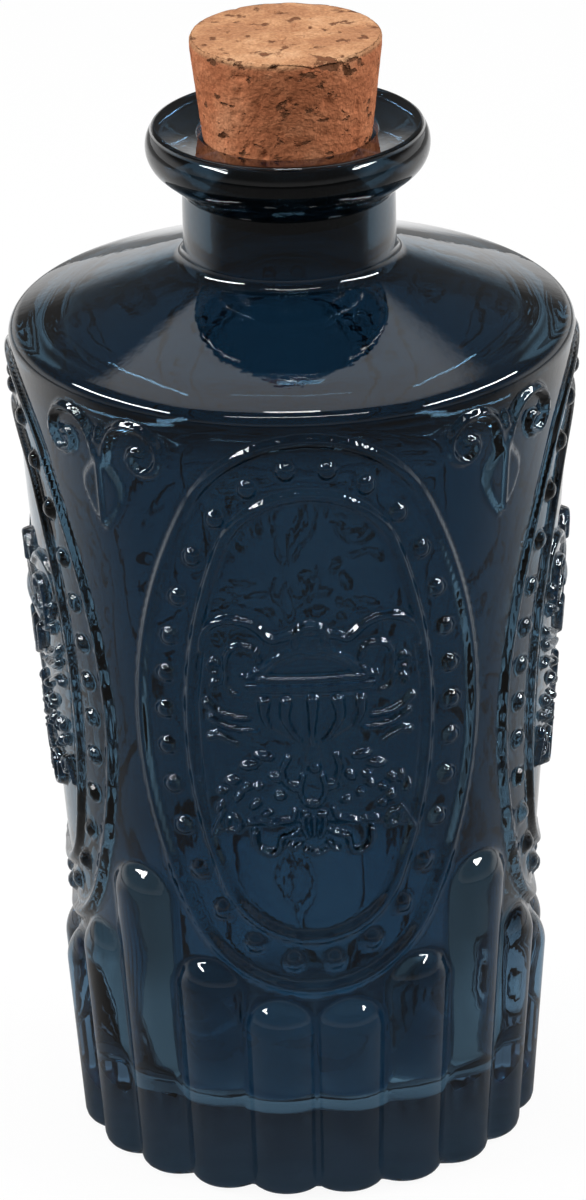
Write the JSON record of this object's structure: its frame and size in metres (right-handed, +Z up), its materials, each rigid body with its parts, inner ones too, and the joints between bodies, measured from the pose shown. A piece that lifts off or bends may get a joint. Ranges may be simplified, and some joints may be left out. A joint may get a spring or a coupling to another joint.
{
  "type": "corked glass bottle",
  "caption": "Dark navy pressed-glass bottle with fluted base, oval beaded medallions holding a covered urn, domed shoulder, short neck with a rolled lip and a tapered cork stopper.",
  "frame": {"origin": "centre of the resting face under the bottle", "axes": "+Z up along the bottle's axis, -Y towards the front medallion, +X to its right"},
  "size_m": [0.1016, 0.1016, 0.206],
  "materials": {
    "navy_glass": "polished, deep navy, see-through where thin",
    "cork": "natural cork with pits and cracks"
  },
  "bodies": {
    "bottle": {"glass_bottle": "navy_glass"},
    "stopper": {"cork_stopper": "cork"}
  },
  "joints": [
    {"name": "stopper_lift", "type": "slide", "parent": "bottle", "child": "stopper", "axis": [0, 0, 1], "range_m": [0, 0.045]}
  ]
}
